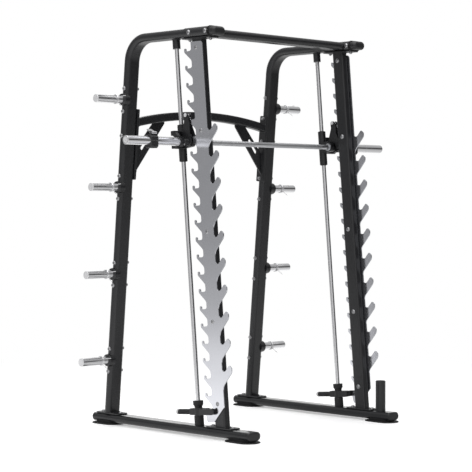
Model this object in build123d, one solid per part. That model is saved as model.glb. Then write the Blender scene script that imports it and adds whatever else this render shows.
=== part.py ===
"""Smith machine: a barbell guided on two leaning rods inside a tubular frame.

Millimetres. X runs left (-) to right (+), Y front (-) to rear (+), Z up from the floor.
The left side is modelled and mirrored in the plane X = 0. Parts on the leaning posts are
drawn in a leaning frame (x, t, v): x from the side frame's centre plane, t rearward from
the post's axis, v up along it.
"""
from build123d import *
import os
from math import sin, cos, tan, radians, hypot, atan2, asin, sqrt

os.makedirs("parts", exist_ok=True)

# ---------------------------------------------------------------- main dimensions
HALF_W = 604.0            # frame centre plane, each side of the middle
BASE_LEN = 1286.0         # floor tube, front to back
TUBE_W, TUBE_H, WALL = 100.0, 50.0, 3.0   # flat-oval main tube
BORE_W, BORE_H = TUBE_W - 2 * WALL, TUBE_H - 2 * WALL
BASE_Z = 12.0             # underside of the floor tubes
BASE_TOP = BASE_Z + TUBE_H
BASE_MID = BASE_Z + TUBE_H / 2
TOP_Z = 2282.0            # centre of the horizontal top tubes
TUBE_UNDER = TOP_Z - TUBE_H / 2
POST_X, POST_Y, POST_R = 50.0, 80.0, 12.0  # front post section
LEAN_FRONT = 4.95         # front post, rods and rack lean back towards the top
LEAN_REAR = 5.0           # rear upright leans forward towards the top
FRONT_Y0 = -415.3         # front post axis at floor level
REAR_Y0 = 534.7           # rear upright axis at floor level
FLANGE_L, FLANGE_W, FLANGE_T = 200.0, 84.0, 7.0  # bolted flanges
PLATE_T = 6.0             # rack plate thickness
ROD_R, ROD_T = 12.5, 187.0                # guide rod
BAR_T, BAR_V, BAR_R = 129.0, 1684.0, 15.0
BAR_HALF = 1090.0
SLEEVE_R = 25.0           # bar sleeve
STUB_R = 20.5             # thinner inner end of the bar sleeve
RUN = 0.05                # running clearance on radius
PLUG_GAP = 0.2            # plugs and sleeves differ this much from the tube

X_DIR, Y_DIR, UP = (1, 0, 0), (0, 1, 0), (0, 0, 1)
OUTWARD = (-1, 0, 0)      # away from the middle, on the left side

FRONT = Location((-HALF_W, FRONT_Y0, 0), (-LEAN_FRONT, 0, 0))  # left front leaning frame
REAR = Location((-HALF_W, REAR_Y0, 0), (LEAN_REAR, 0, 0))      # left rear leaning frame
SIN_F, COS_F = sin(radians(LEAN_FRONT)), cos(radians(LEAN_FRONT))
SIN_R, COS_R = sin(radians(LEAN_REAR)), cos(radians(LEAN_REAR))


# ---------------------------------------------------------------- helpers
def block(x0, x1, y0, y1, z0, z1):
    centre = ((x0 + x1) / 2, (y0 + y1) / 2, (z0 + z1) / 2)
    return Location(centre) * Box(abs(x1 - x0), abs(y1 - y0), abs(z1 - z0))


def side_block(half_width, y0, y1, z0, z1):
    """Block centred across the left side frame."""
    return block(-HALF_W - half_width, -HALF_W + half_width, y0, y1, z0, z1)


def cyl(start, direction, length, radius):
    return Solid.make_cylinder(radius, length, Plane(origin=start, z_dir=direction))


def cyl_x(radius, x0, x1, y, z):
    """Cylinder along X between two stations given in either order."""
    low, high = min(x0, x1), max(x0, x1)
    return cyl((low, y, z), X_DIR, high - low, radius)


def oval_y(width, height, length, both=False):
    """Flat-oval bar from the XZ plane towards -Y, or both ways."""
    return extrude(Plane.XZ * SlotOverall(width, height), length, both=both)


def hex_head(across_flats, start, direction, height):
    plane = Plane(origin=start, z_dir=direction)
    return extrude(plane * RegularPolygon(across_flats / 2, 6, major_radius=False), height)


def round_head(start, direction, radius, height):
    """Squat round bolt head standing on a face."""
    with BuildPart() as head:
        with BuildSketch(Plane.XZ):
            with BuildLine():
                Polyline((0, 0), (radius, 0), (radius, height * 0.35))
                ThreePointArc((radius, height * 0.35), (radius * 0.72, height * 0.82),
                              (radius * 0.3, height))
                Polyline((radius * 0.3, height), (0, height), (0, 0))
            make_face()
        revolve(axis=Axis.Z)
    return Plane(origin=start, z_dir=direction).location * head.part


def outline(corners):
    """Closed wire through corners [(a, b, fillet radius)], rounded with true arcs.

    A fillet takes at most 0.48 of either neighbouring side.
    """
    count = len(corners)
    starts, ends, middles = [], [], []
    for i, (a, b, radius) in enumerate(corners):
        prev_a, prev_b, _ = corners[i - 1]
        next_a, next_b, _ = corners[(i + 1) % count]
        back_a, back_b = prev_a - a, prev_b - b
        fore_a, fore_b = next_a - a, next_b - b
        back_len, fore_len = hypot(back_a, back_b), hypot(fore_a, fore_b)
        back_a, back_b = back_a / back_len, back_b / back_len
        fore_a, fore_b = fore_a / fore_len, fore_b / fore_len
        cosine = max(-1.0, min(1.0, back_a * fore_a + back_b * fore_b))
        if radius <= 0 or cosine < -0.99999:
            starts.append((a, b))
            ends.append((a, b))
            middles.append(None)
            continue
        half = 0.5 * atan2(sqrt(1 - cosine * cosine), cosine)
        setback = min(radius / tan(half), 0.48 * back_len, 0.48 * fore_len)
        fitted = setback * tan(half)
        mid_a, mid_b = back_a + fore_a, back_b + fore_b
        reach = (fitted / sin(half) - fitted) / hypot(mid_a, mid_b)
        starts.append((a + back_a * setback, b + back_b * setback))
        ends.append((a + fore_a * setback, b + fore_b * setback))
        middles.append((a + mid_a * reach, b + mid_b * reach))
    edges = []
    for i in range(count):
        if middles[i] is not None:
            edges.append(ThreePointArc(starts[i], middles[i], ends[i]))
        here, there = ends[i], starts[(i + 1) % count]
        if hypot(here[0] - there[0], here[1] - there[1]) > 1e-4:
            edges.append(Line(here, there))
    return Wire(edges)


def side_plate(corners, x0, x1):
    """Plate between x0 and x1 with corners (t, v, fillet radius) in the YZ plane."""
    face = Plane.YZ.location * Face(outline(corners))
    return Location((x0, 0, 0)) * extrude(face, x1 - x0, dir=X_DIR)


def side_bar(t0, t1, v0, v1, radius, x0, x1):
    """Rectangular side plate, all corners rounded alike."""
    corners = [(t0, v0, radius), (t1, v0, radius), (t1, v1, radius), (t0, v1, radius)]
    return side_plate(corners, x0, x1)


def rod_cyl(v0, v1, radius):
    """Cylinder about the guide rod's axis, in the front leaning frame."""
    return cyl((0, ROD_T, v0), UP, v1 - v0, radius)


def flange(y, half_length, z0, z1):
    """Horizontal bolting flange across the left side frame."""
    plate = side_block(FLANGE_W / 2, y - half_length, y + half_length, z0, z1)
    return fillet(plate.edges().filter_by(Axis.Z), 14)


def foot_flange(y):
    return flange(y, FLANGE_L / 2, BASE_TOP, BASE_TOP + FLANGE_T)


def mirror_x(shape):
    return mirror(shape, about=Plane.YZ)


def drill(shape, holes):
    for hole in holes:
        shape = shape - hole
    return shape


def save(name, *shapes):
    solids = [solid for shape in shapes for solid in shape.solids()]
    out = solids[0] if len(solids) == 1 else Compound(children=solids)
    export_step(out, f"parts/{name}.step")


def save_pair(name, *shapes):
    """Left part and its mirror image on the right."""
    save("left_" + name, *shapes)
    save("right_" + name, *[mirror_x(shape) for shape in shapes])


def front_y(z):
    """Y of the front post's axis at height z."""
    return FRONT_Y0 + z * tan(radians(LEAN_FRONT))


def rear_y(z):
    """Y of the rear upright's axis at height z."""
    return REAR_Y0 - z * tan(radians(LEAN_REAR))


def front_v(t, z):
    """v of the point at offset t and world height z, in the front leaning frame."""
    return (z + t * SIN_F) / COS_F


# ---------------------------------------------------------------- floor tubes, caps and pads
PAD_Y = 562.5             # pad centres, front and rear
PAD_T = 5.0


def make_base_tube():
    tube = oval_y(TUBE_W, TUBE_H, BASE_LEN / 2, both=True)
    tube -= oval_y(BORE_W, BORE_H, BASE_LEN, both=True)
    return Location((-HALF_W, 0, BASE_MID)) * tube


def make_base_cap(side):
    """End cap of the floor tube: side -1 at the front, 1 at the rear."""
    head = oval_y(TUBE_W, TUBE_H, 12.0)
    head = fillet(head.faces().sort_by(Axis.Y)[0].edges(), 7.5)
    plug = Location((0, 20, 0)) * oval_y(BORE_W - PLUG_GAP, BORE_H - PLUG_GAP, 20)
    cap = head + plug
    if side > 0:
        cap = mirror(cap, about=Plane.XZ)
    return Location((-HALF_W, side * BASE_LEN / 2, BASE_MID)) * cap


def make_foot_pad(side):
    """Floor pad with a raised block that cradles the tube."""
    y = side * PAD_Y
    pad = extrude(Location((-HALF_W, y, 0), (0, 0, 90)) * SlotOverall(220.0, 140.0), PAD_T)
    pad = fillet(pad.faces().sort_by(Axis.Z)[-1].edges(), 3.0)
    cradle_at = Location((-HALF_W, y - side * 4, PAD_T), (0, 0, 90))
    cradle = extrude(cradle_at * SlotOverall(176.0, 92.0), 24.0)
    tube = Location((-HALF_W, 0, BASE_MID)) * oval_y(TUBE_W, TUBE_H, BASE_LEN, both=True)
    return pad + (cradle - tube)


base_tube = make_base_tube()
base_caps = [make_base_cap(side) for side in (-1, 1)]
foot_pads = [make_foot_pad(side) for side in (-1, 1)]

# ---------------------------------------------------------------- rear upright and top tube
BEND_R = 140.0            # centreline radius of the top bend
TOP_FRONT = -329.0        # front end of the top tube


def make_upright():
    """One bent tube: the leaning upright, the bend and the top tube."""
    corner_y = rear_y(TOP_Z)
    turn = radians(90 - LEAN_REAR)
    setback = BEND_R * tan(turn / 2)
    foot_z = BASE_TOP - 40    # starts inside the floor tube and is cut off level below
    bottom = (0, rear_y(foot_z), foot_z)
    bend_start = (0, corner_y + setback * SIN_R, TOP_Z - setback * COS_R)
    bend_end = (0, corner_y - setback, TOP_Z)
    mid_angle = radians(90) - turn / 2
    bend_mid = (0, corner_y - setback + BEND_R * cos(mid_angle),
                TOP_Z - BEND_R + BEND_R * sin(mid_angle))
    path = Wire([Line(bottom, bend_start), ThreePointArc(bend_start, bend_mid, bend_end),
                 Line(bend_end, (0, TOP_FRONT, TOP_Z))])
    section = Plane(origin=bottom, x_dir=X_DIR, z_dir=(0, -SIN_R, COS_R))
    outer = sweep(section * SlotOverall(TUBE_W, TUBE_H), path=path)
    inner = sweep(section * SlotOverall(BORE_W, BORE_H), path=path)
    place = Location((-HALF_W, 0, 0))
    tube = (place * outer) - (place * inner)
    tube = tube - side_block(200, 0, 900, -200, BASE_TOP + FLANGE_T)
    return tube + foot_flange(rear_y(BASE_TOP))


upright = make_upright()

# ---------------------------------------------------------------- front post
SLEEVE_WALL = 3.5         # sleeves of the top crossbar
POST_TOP_Z1 = TUBE_UNDER - SLEEVE_WALL    # underside of the sleeve
POST_TOP_Z0 = POST_TOP_Z1 - FLANGE_T
POST_TOP_Y, POST_TOP_HALF = -229.0, 112.5


def make_post():
    """Rounded box tube between a foot flange and a top flange."""
    post = Location((0, 0, 1200)) * Box(POST_X, POST_Y, 2700)
    post = fillet(post.edges().filter_by(Axis.Z), POST_R)
    bore = Location((0, 0, 1200)) * Box(POST_X - 2 * WALL, POST_Y - 2 * WALL, 2710)
    bore = fillet(bore.edges().filter_by(Axis.Z), POST_R - WALL)
    post = FRONT * (post - bore)
    post = post & side_block(80, -700, 200, BASE_TOP + FLANGE_T, POST_TOP_Z0)
    top = flange(POST_TOP_Y, POST_TOP_HALF, POST_TOP_Z0, POST_TOP_Z1)
    return post + foot_flange(front_y(BASE_TOP)) + top


post = make_post()

# ---------------------------------------------------------------- rack plate
NOTCH_PITCH, N_NOTCH = 97.4, 22           # latch notches, along the rear edge
NOTCH_T, NOTCH_V0 = 64.0, 2193.0          # bottom of the highest notch
HOOK_PITCH, N_HOOK = 150.0, 10            # bar hooks, along the front edge
HOOK_T, HOOK_V0 = -70.0, 1729.3           # bottom of the highest hook
PLATE_FRONT_T = -52.0
PLATE_TOP_Z = 2231.0      # the top edge is level in world height
# one hook: forward and up from its bottom in world directions, fillet radius
# the first and last corners lie on the plate's front edge
HOOK = [(-18.6, 0, 14), (5, 0, 12), (37, 39, 9), (56, 22, 9), (57, -3, 24), (-18.6, -86, 40)]
# plate foot below the lowest hook: t, v, fillet radius
PLATE_FOOT = [(PLATE_FRONT_T, 183.0, 8), (34.0, 99.0, 6), (88.0, 96.5, 12)]
# one notch: t and v from its bottom, fillet radius
NOTCH = [(-23.5, 0, 12.5), (17.5, 0, 6), (17.5, 17.5, 6.5), (31.5, 17.5, 6.5),
         (31.5, -4, 12)]
NOTCH_END = (-23.5, -56, 26)
LAST_NOTCH_END = (30.5, -20, 10)


def make_rack_plate():
    corners = [(40.5, front_v(40.0, PLATE_TOP_Z), 3),
               (PLATE_FRONT_T, front_v(PLATE_FRONT_T, PLATE_TOP_Z), 16)]
    for k in range(N_HOOK):
        for i, (forward, up, radius) in enumerate(HOOK):
            t = HOOK_T - (forward * COS_F + up * SIN_F)
            if i in (0, len(HOOK) - 1):
                t = PLATE_FRONT_T
            v = HOOK_V0 - k * HOOK_PITCH - forward * SIN_F + up * COS_F
            corners.append((t, v, radius))
    corners += PLATE_FOOT
    rear_edge = []
    for k in range(N_NOTCH):
        end = LAST_NOTCH_END if k == N_NOTCH - 1 else NOTCH_END
        for dt, dv, radius in NOTCH + [end]:
            rear_edge.append((NOTCH_T + dt, NOTCH_V0 - k * NOTCH_PITCH + dv, radius))
    corners += rear_edge[::-1]
    return FRONT * side_plate(corners, -POST_X / 2 - PLATE_T, -POST_X / 2)


rack_plate = make_rack_plate()

# ---------------------------------------------------------------- plate bolts through the post
BOLT_R, BOLT_HOLE_R = 6.0, 6.3
PLATE_BOLT_V = [2205.0, 1735.0, 1164.0, 658.0, 199.0]


def make_plate_bolt(v):
    x_out = -POST_X / 2 - PLATE_T
    shank = cyl((x_out, 0, v), X_DIR, POST_X + PLATE_T, BOLT_R)
    inner_head = round_head((POST_X / 2, 0, v), X_DIR, 12.5, 7.0)
    outer_head = round_head((x_out, 0, v), OUTWARD, 11.0, 4.5)
    return FRONT * (shank + inner_head + outer_head)


fasteners = [make_plate_bolt(v) for v in PLATE_BOLT_V]
plate_holes = [FRONT * cyl((-60, 0, v), X_DIR, 120, BOLT_HOLE_R) for v in PLATE_BOLT_V]
post = drill(post, plate_holes)
rack_plate = drill(rack_plate, plate_holes)

# ---------------------------------------------------------------- top crossbar with end sleeves
SLEEVE_Y0, SLEEVE_Y1 = -335.0, -140.0
SLEEVE_W, SLEEVE_H = TUBE_W + 2 * SLEEVE_WALL, TUBE_H + 2 * SLEEVE_WALL
CROSS_Y = -254.5
CROSS_W, CROSS_H = 100, 46
CROSS_HALF = HALF_W - SLEEVE_W / 2 + 12   # runs into the sleeves before trimming
SIDE_BOLT_Y = (-188.0, -321.0)            # across the sleeve
UNDER_BOLT_Y = (-146.0, -312.0)           # up through the post's top flange


def make_sleeve():
    length = SLEEVE_Y1 - SLEEVE_Y0
    sleeve = oval_y(SLEEVE_W, SLEEVE_H, length / 2, both=True)
    sleeve -= oval_y(TUBE_W + PLUG_GAP, TUBE_H + PLUG_GAP, 400, both=True)
    return Location((-HALF_W, (SLEEVE_Y0 + SLEEVE_Y1) / 2, TOP_Z)) * sleeve


def make_cross_tube():
    """Cross tube, its ends trimmed to the outside of the sleeves."""
    tube = extrude(Plane.YZ * SlotOverall(CROSS_W, CROSS_H), CROSS_HALF, both=True)
    tube -= extrude(Plane.YZ * SlotOverall(CROSS_W - 2 * WALL, CROSS_H - 2 * WALL),
                    CROSS_HALF + 20, both=True)
    tube = Location((0, CROSS_Y, TOP_Z - 1)) * tube
    trim = Location((-HALF_W, -200, TOP_Z)) * oval_y(SLEEVE_W, SLEEVE_H, 400, both=True)
    return tube - trim - mirror_x(trim)


def make_side_bolt(y):
    x_out, x_in = -HALF_W - SLEEVE_W / 2, -HALF_W + SLEEVE_W / 2
    bolt = cyl_x(BOLT_R, x_out, x_in, y, TOP_Z)
    bolt += round_head((x_out, y, TOP_Z), OUTWARD, 12.5, 7)
    bolt += round_head((x_in, y, TOP_Z), X_DIR, 12.5, 7)
    return bolt


def make_under_bolt(y):
    bolt = cyl((-HALF_W, y, POST_TOP_Z0 - 12), UP, 30, 5.0)
    bolt += hex_head(17, (-HALF_W, y, POST_TOP_Z0 - 9), UP, 9)
    return bolt


def make_top_cap():
    """Deep rounded cap with a lip, plugged into the sleeve's front end."""
    cap = oval_y(TUBE_W + 1, TUBE_H + 1, 52)
    cap = fillet(cap.faces().sort_by(Axis.Y)[0].edges(), 18)
    lip = oval_y(TUBE_W + 12, TUBE_H + 6, 8)
    lip = fillet(lip.faces().sort_by(Axis.Y)[0].edges(), 3)
    plug = Location((0, 5.5, 0)) * oval_y(TUBE_W - PLUG_GAP, TUBE_H - PLUG_GAP, 7)
    return Location((-HALF_W, SLEEVE_Y0, TOP_Z)) * (cap + lip + plug)


fasteners += [make_side_bolt(y) for y in SIDE_BOLT_Y]
fasteners += [make_under_bolt(y) for y in UNDER_BOLT_Y]
side_holes = [cyl_x(BOLT_HOLE_R, -HALF_W - 80, -HALF_W + 80, y, TOP_Z) for y in SIDE_BOLT_Y]
under_holes = [cyl((-HALF_W, y, POST_TOP_Z0 - 30), UP, 60, 5.3) for y in UNDER_BOLT_Y]
sleeve = drill(make_sleeve(), side_holes + under_holes)
upright = drill(upright, side_holes + under_holes)
post = drill(post, under_holes)
crossbar = sleeve + mirror_x(sleeve) + make_cross_tube()

# ---------------------------------------------------------------- foot bolts
FOOT_BOLT_OFF = 76        # bolts in front of and behind the post's axis


def foot_bolt_ys(y):
    return [y - FOOT_BOLT_OFF, y + FOOT_BOLT_OFF]


def make_foot_bolt(y):
    bolt = cyl((-HALF_W, y, BASE_TOP - 10), UP, 10 + FLANGE_T, BOLT_R)
    bolt += round_head((-HALF_W, y, BASE_TOP + FLANGE_T), UP, 12.0, 8)
    return bolt


def foot_hole(y):
    return cyl((-HALF_W, y, BASE_TOP - 12), UP, 40, BOLT_HOLE_R)


post_bolt_ys = foot_bolt_ys(front_y(BASE_TOP))
upright_bolt_ys = foot_bolt_ys(rear_y(BASE_TOP))
fasteners += [make_foot_bolt(y) for y in post_bolt_ys + upright_bolt_ys]
base_tube = drill(base_tube, [foot_hole(y) for y in post_bolt_ys + upright_bolt_ys])
post = drill(post, [foot_hole(y) for y in post_bolt_ys])
upright = drill(upright, [foot_hole(y) for y in upright_bolt_ys])

# ---------------------------------------------------------------- storage horns
HORN_R, HORN_TIP = 24.0, 262.0
HORN_NECK = 156.0         # inboard of this, where the clip sits, the horn is thinner
NECK_R = HORN_R - 0.5
HORN_WALL = 4
HORN_V = [1934.7 - k * 516.0 for k in range(4)]
# the upright's outside, in the rear leaning frame
upright_body = Location((0, 0, 1200)) * extrude(SlotOverall(TUBE_W, TUBE_H), 1500, both=True)


def make_boss(v):
    boss = cyl((-66, 0, v), X_DIR, 40, 36.0)
    boss = fillet(boss.faces().sort_by(Axis.X)[0].edges(), 4) - upright_body
    boss -= cyl((-70, 0, v), X_DIR, 60, NECK_R)
    return REAR * boss


def make_horn(v):
    horn = cyl((-HORN_TIP, 0, v), X_DIR, HORN_TIP - HORN_NECK, HORN_R)
    horn += cyl((-HORN_NECK, 0, v), X_DIR, HORN_NECK - 40, NECK_R) - upright_body
    horn -= cyl((-HORN_TIP - 5, 0, v), X_DIR, HORN_TIP - 56, HORN_R - HORN_WALL)
    return REAR * horn


def make_horn_cap(v):
    cap = cyl((-HORN_TIP - 3.6, 0, v), X_DIR, 3.6, HORN_R)
    cap = fillet(cap.faces().sort_by(Axis.X)[0].edges(), 3)
    cap += cyl((-HORN_TIP, 0, v), X_DIR, 14, HORN_R - HORN_WALL - 0.1)
    return REAR * cap


horns = [make_horn(v) for v in HORN_V]
horn_bosses = [make_boss(v) for v in HORN_V]
horn_caps = [make_horn_cap(v) for v in HORN_V]

# ---------------------------------------------------------------- spring clips on the horns
CLIP_X_LEFT, CLIP_X_RIGHT = 112.0, 141.0  # clip centre, outward from the side frame's middle
CLIP_W = 14.6
WIRE_R = 2.4
# finger legs: x offset, start angle above the forward direction, end (t, v)
CLIP_LEGS = [(4.9, 38.0, (-82.0, 27.0)), (-4.9, -38.0, (-66.0, -37.0))]


def make_clip(x, v):
    """Three turns of wire, drawn as a grooved ring, with two legs towards the front."""
    bore = HORN_R + 0.08
    outer = bore + 2 * WIRE_R
    half = CLIP_W / 2
    profile = [(-half, bore), (half, bore), (half, outer - 1.3), (half - 1.1, outer),
               (3.6, outer), (2.45, outer - 1.6), (1.3, outer), (-1.3, outer),
               (-2.45, outer - 1.6), (-3.6, outer), (-half + 1.1, outer), (-half, outer - 1.3)]
    clip = revolve(Plane.XY * make_face(Polyline(*profile, close=True)), axis=Axis.X)
    wire_mid = (bore + outer) / 2
    for dx, angle, (end_t, end_v) in CLIP_LEGS:
        start_t = -wire_mid * cos(radians(angle))
        start_v = wire_mid * sin(radians(angle))
        dt, dv = end_t - start_t, end_v - start_v
        leg = cyl((dx, start_t, start_v), (0, dt, dv), hypot(dt, dv), WIRE_R - 0.15)
        clip = clip + (leg - cyl((-80, 0, 0), X_DIR, 160, bore + 0.4))
    return REAR * (Location((x, 0, v)) * clip)


# ---------------------------------------------------------------- rear brace
BRACE_TOP, BRACE_CURVE = 1855.0, 0.000187  # crown height; drop per squared distance
BRACE_SIZE = 50
BRACE_Y = rear_y(BRACE_TOP - 28)
BRACE_END_X = HALF_W - 60.0
END_PLATE_V0, END_PLATE_V1 = 1465.5, 1885.0
END_PLATE_X = 60          # inner face of the end plate, from the side frame's middle
# left gusset: x, z, fillet radius
GUSSET = [(-400, 1815, 0), (-306, 1826, 0), (-306, 1800, 3), (-545, 1500, 3),
          (-545, 1632, 3), (-398, 1801, 0)]


def make_brace():
    """Arched square tube with slotted gussets, between plates on the uprights."""
    arc_x = BRACE_END_X + 20
    arc_z = BRACE_TOP - BRACE_CURVE * arc_x * arc_x
    arc = ThreePointArc((-arc_x, BRACE_Y, arc_z), (0, BRACE_Y, BRACE_TOP),
                        (arc_x, BRACE_Y, arc_z))
    path = Wire([arc])
    section = Plane(origin=arc @ 0, x_dir=Y_DIR, z_dir=arc % 0)
    tube = sweep(section * RectangleRounded(BRACE_SIZE, BRACE_SIZE, 8), path=path)
    bore_size = BRACE_SIZE - 2 * WALL
    bore = sweep(section * Rectangle(bore_size, bore_size), path=path)

    end_plate = block(44, END_PLATE_X, -27, 27, END_PLATE_V0, END_PLATE_V1)
    end_plate = REAR * (fillet(end_plate.edges().filter_by(Axis.X), 8) - upright_body)
    end_trim = REAR * block(-100, 56, -200, 200, 1000, 2100)
    tube = tube - end_trim - mirror_x(end_trim)
    bore = bore & block(-BRACE_END_X + 8, BRACE_END_X - 8, 0, 800, 1000, 2100)

    slot = Location((-462, 1682), (0, 0, 51.5)) * SlotOverall(110, 22)
    plane = Plane(origin=(0, BRACE_Y + 12, 0), x_dir=X_DIR, z_dir=(0, -1, 0))
    gusset = extrude(plane.location * (Face(outline(GUSSET)) - slot), 8)
    gusset = gusset - end_trim
    # trimmed a little inside the tube's skin so that the two overlap
    gusset = gusset - sweep(section * RectangleRounded(47, 47, 6.5), path=path)
    return (tube + end_plate + mirror_x(end_plate) + gusset + mirror_x(gusset)) - bore


# through bolts: above and below each horn, and one more in the brace plate
HORN_BOLT_OFF = 67.0
REAR_BOLT_V = [v + side * HORN_BOLT_OFF for v in HORN_V for side in (1, -1)] + [1723.5]


def make_rear_bolt(v):
    x_out = -TUBE_W / 2
    x_in = END_PLATE_X if END_PLATE_V0 < v < END_PLATE_V1 else TUBE_W / 2
    bolt = cyl((x_out, 0, v), X_DIR, x_in + 3 - x_out, BOLT_R)
    bolt += round_head((x_out + 0.5, 0, v), OUTWARD, 12.0, 8.0) - upright_body
    bolt += hex_head(19, (x_in, 0, v), X_DIR, 9)
    bolt += round_head((x_in + 8.9, 0, v), X_DIR, 8.5, 4)
    # a pinhole void inside the shank, under the outer head
    return REAR * (bolt - cyl((x_out + 0.1, 0, v), X_DIR, 0.01, 0.01))


fasteners += [make_rear_bolt(v) for v in REAR_BOLT_V]
rear_holes = [REAR * cyl((-90, 0, v), X_DIR, 180, BOLT_HOLE_R) for v in REAR_BOLT_V]
upright = drill(upright, rear_holes)
rear_brace = drill(make_brace(), rear_holes + [mirror_x(hole) for hole in rear_holes])

# ---------------------------------------------------------------- guide rods and sockets
SOCKET_GAP = 0.03


def between_tubes(shape, z0, z1):
    """The part of a rod-axis shape between two world heights."""
    return shape & side_block(60, -600, 300, z0, z1)


guide_rod = between_tubes(FRONT * rod_cyl(60, 2360, ROD_R), BASE_TOP, TUBE_UNDER)
socket_v = front_v(ROD_T, TUBE_UNDER - 55)
top_socket = FRONT * (rod_cyl(socket_v, socket_v + 200, 22.5)
                      - rod_cyl(2100, 2500, ROD_R + SOCKET_GAP))
top_socket = between_tubes(top_socket, 2000, TUBE_UNDER)
bottom_socket = FRONT * (rod_cyl(40, 131.5, 27.0) - rod_cyl(0, 400, ROD_R + SOCKET_GAP))
bottom_socket = between_tubes(bottom_socket, BASE_TOP, 300)

# ---------------------------------------------------------------- safety stops on the rods
STOP_V0, STOP_V1 = 133.0, 175.0
STOP_MID = (STOP_V0 + STOP_V1) / 2
STOP_HALF = 17                            # half thickness of the stop body
ARM_X0, ARM_X1 = -52.0, -44.0             # stop arm, outside the rack plate
# outlines: t, v, fillet radius
STOP_BODY = [(ROD_T - 70, STOP_V0 + 3, 6), (ROD_T + 58, STOP_V0 + 3, 8),
             (ROD_T + 58, STOP_V1 - 1, 8), (ROD_T - 70, STOP_V1 - 1, 6)]
STOP_ARM = [(128.0, 139.0, 4), (31.0, 139.0, 12), (18.5, 149.0, 8), (18.5, 163.0, 5),
            (27.0, 179.0, 3), (34.0, 171.5, 3), (128.0, 171.5, 4)]
STOP_LUG = [(53.0, 152.0, 3), (73.0, 152.0, 3), (73.0, 168.0, 5), (53.0, 168.0, 5)]


def handle_core():
    return cyl((0, ROD_T + 20, STOP_MID), Y_DIR, 78, 9.0)


def make_stop():
    """Body on the rod with a cranked arm; the arm's lug reaches in to the rack plate."""
    stop = rod_cyl(STOP_V0, STOP_V1, 25.0)
    stop += side_plate(STOP_BODY, -STOP_HALF, STOP_HALF)
    stop += handle_core()
    stop += side_bar(104.0, 134.0, STOP_V0 + 5, STOP_V1 - 3, 4, ARM_X0, STOP_HALF)
    stop += side_plate(STOP_ARM, ARM_X0, ARM_X1)
    stop += side_plate(STOP_LUG, ARM_X1 - 0.5, -33)
    stop = stop - rod_cyl(0, 400, ROD_R + RUN)
    return FRONT * stop


def make_stop_grip():
    grip = cyl((0, ROD_T + 62, STOP_MID), Y_DIR, 112, 15.0)
    grip = fillet(grip.edges(), 6) - handle_core()
    grip -= side_bar(ROD_T - 71, ROD_T + 59, STOP_V0, STOP_V1, 0,
                     -STOP_HALF - 1, STOP_HALF + 1)
    return FRONT * grip


def make_bumper():
    """Flared ring standing on the stop."""
    bore = ROD_R + 0.3
    with BuildPart() as ring:
        with BuildSketch(Plane.XZ):
            with BuildLine():
                Polyline((bore, 0), (21.0, 0), (21.5, 8), (29.0, 20), (29.5, 42), (bore, 42),
                         (bore, 0))
            make_face()
        revolve(axis=Axis.Z)
    return FRONT * (Location((0, ROD_T, STOP_V1)) * ring.part)


# ---------------------------------------------------------------- carriages and bearings
CARRIAGE_V0, CARRIAGE_V1 = 1580.0, 1788.0
LINEAR_R = 19.0           # outside of the linear bearings
BEARING_R = 24.0          # outside of the bar bearings
FORK_X = -89.0            # outer face of the fork and its bearing ring
FORK_T = 23
# outlines: t, v, fillet radius
INNER_HOUSING = [(BAR_T - 24, BAR_V - 27, 14), (BAR_T - 31, BAR_V + 12, 18),
                 (BAR_T - 12, BAR_V + 34, 14), (ROD_T, BAR_V + 40, 4),
                 (ROD_T, BAR_V - 32, 4), (BAR_T + 12, BAR_V - 29, 10)]
UPPER_LINK = [(BAR_T + 6, BAR_V + 18, 4), (ROD_T - 20, BAR_V + 34, 4),
              (ROD_T - 10, BAR_V + 52, 4), (ROD_T - 34, BAR_V + 58, 6),
              (BAR_T - 8, BAR_V + 26, 8)]
LOWER_LINK = [(BAR_T + 12, BAR_V - 24, 3), (ROD_T - 20, BAR_V - 32, 3),
              (ROD_T - 20, BAR_V - 14, 3), (BAR_T + 20, BAR_V - 10, 3)]


def bar_cyl(x0, length, radius):
    """Cylinder about the bar's axis, in the front leaning frame."""
    return cyl((x0, BAR_T, BAR_V), X_DIR, length, radius)


def make_carriage():
    """Rod sleeve, inner bearing housing, and a fork out to the outer bearing ring."""
    body = rod_cyl(CARRIAGE_V0, CARRIAGE_V1, 23.5)
    body += side_plate(INNER_HOUSING, -5.0, 20.0)
    body += side_bar(ROD_T - 34, ROD_T - 2, BAR_V + 39, BAR_V + 66, 4, FORK_X, 0)
    body += side_bar(ROD_T - 26, ROD_T - 2, BAR_V - 35, BAR_V - 12, 4, FORK_X, 0)
    body += side_plate(UPPER_LINK, FORK_X, FORK_X + FORK_T)
    body += side_plate(LOWER_LINK, FORK_X, FORK_X + FORK_T)
    body += bar_cyl(FORK_X, FORK_T, 30.0)
    body -= rod_cyl(CARRIAGE_V0 - 10, CARRIAGE_V1 + 10, LINEAR_R)
    body -= bar_cyl(-100, 200, BEARING_R)
    return FRONT * body


def make_linear_bearing(v0):
    return FRONT * (rod_cyl(v0, v0 + 60, LINEAR_R) - rod_cyl(v0 - 5, v0 + 85, ROD_R + RUN))


def make_bar_bearing(x0, length, shaft_r):
    return FRONT * (bar_cyl(x0, length, BEARING_R) - bar_cyl(x0 - 5, 60, shaft_r + RUN))


linear_bearings = [make_linear_bearing(v) for v in (CARRIAGE_V0 + 2, CARRIAGE_V1 - 62)]
bar_bearings = [make_bar_bearing(-3.0, 21.0, BAR_R), make_bar_bearing(FORK_X + 2, 19.0, STUB_R)]

# ---------------------------------------------------------------- bar
# world position of the bar's axis
BAR_Y = FRONT_Y0 + BAR_T * COS_F + BAR_V * SIN_F
BAR_Z = -BAR_T * SIN_F + BAR_V * COS_F
HUB_SEAT_R = 18.5         # thicker seats that carry the latch levers
CORE_END = BAR_HALF - 8   # the shaft stops short of the sleeve ends


def bar_axis_cyl(radius, x0, x1):
    return cyl_x(radius, x0, x1, BAR_Y, BAR_Z)


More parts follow.
